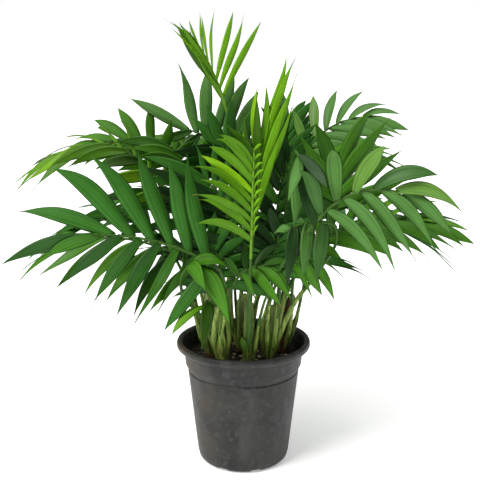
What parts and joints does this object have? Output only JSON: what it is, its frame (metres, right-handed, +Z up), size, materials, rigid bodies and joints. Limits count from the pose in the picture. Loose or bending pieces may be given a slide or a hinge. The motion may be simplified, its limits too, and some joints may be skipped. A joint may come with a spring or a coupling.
{
  "type": "parlour palm",
  "caption": "Small feather-leaved palm: a clump of short canes with arching fronds of slim leaflets, standing in a round tapered plastic nursery pot filled with soil.",
  "frame": {"origin": "centre of the flat underside of the pot", "axes": "+Z up along the pot's axis, -Y towards the plant's front as pictured, +X to the right seen from the front"},
  "size_m": [0.4903, 0.3772, 0.4997],
  "materials": {
    "stem": "satin",
    "leaf_mid": "satin",
    "leaf_deep": "satin",
    "leaf_bright": "satin",
    "leaf_grey": "satin",
    "leaf_lime": "satin",
    "pot": "satin",
    "soil": "matte"
  },
  "bodies": {
    "root": {"cane_centre": "stem", "cane_east": "stem", "cane_north": "stem", "cane_north_east": "stem", "cane_north_west": "stem", "cane_south": "stem", "cane_south_east": "stem", "cane_south_west": "stem", "cane_west": "stem", "frond_back_high_1": "leaf_mid", "frond_back_high_2": "leaf_mid", "frond_back_high_3": "leaf_mid", "frond_back_high_4": "leaf_mid", "frond_back_low_1": "leaf_deep", "frond_back_low_2": "leaf_deep", "frond_back_low_3": "leaf_deep", "frond_back_low_4": "leaf_deep", "frond_back_low_5": "leaf_deep", "frond_centre_dark": "leaf_deep", "frond_foot": "leaf_bright", "frond_heart": "leaf_deep", "frond_heart_fold": "leaf_grey", "frond_inner_1": "leaf_deep", "frond_inner_2": "leaf_deep", "frond_inner_3": "leaf_deep", "frond_inner_4": "leaf_deep", "frond_inner_5": "leaf_deep", "frond_inner_6": "leaf_deep", "frond_left_back": "leaf_mid", "frond_left_fold": "leaf_mid", "frond_left_front": "leaf_deep", "frond_left_high": "leaf_bright", "frond_left_inner": "leaf_deep", "frond_left_low": "leaf_mid", "frond_low_centre": "leaf_mid", "frond_right_drops": "leaf_grey", "frond_right_foot": "leaf_mid", "frond_right_fork": "leaf_mid", "frond_right_front": "leaf_grey", "frond_right_high": "leaf_grey", "frond_right_low": "leaf_mid", "frond_shade_left": "leaf_deep", "frond_shade_right": "leaf_deep", "frond_spear": "leaf_lime", "frond_top_dark": "leaf_grey", "frond_top_lime": "leaf_lime", "frond_top_right": "leaf_deep", "frond_top_spike": "leaf_lime", "pot": "pot", "soil": "soil"}
  },
  "joints": []
}
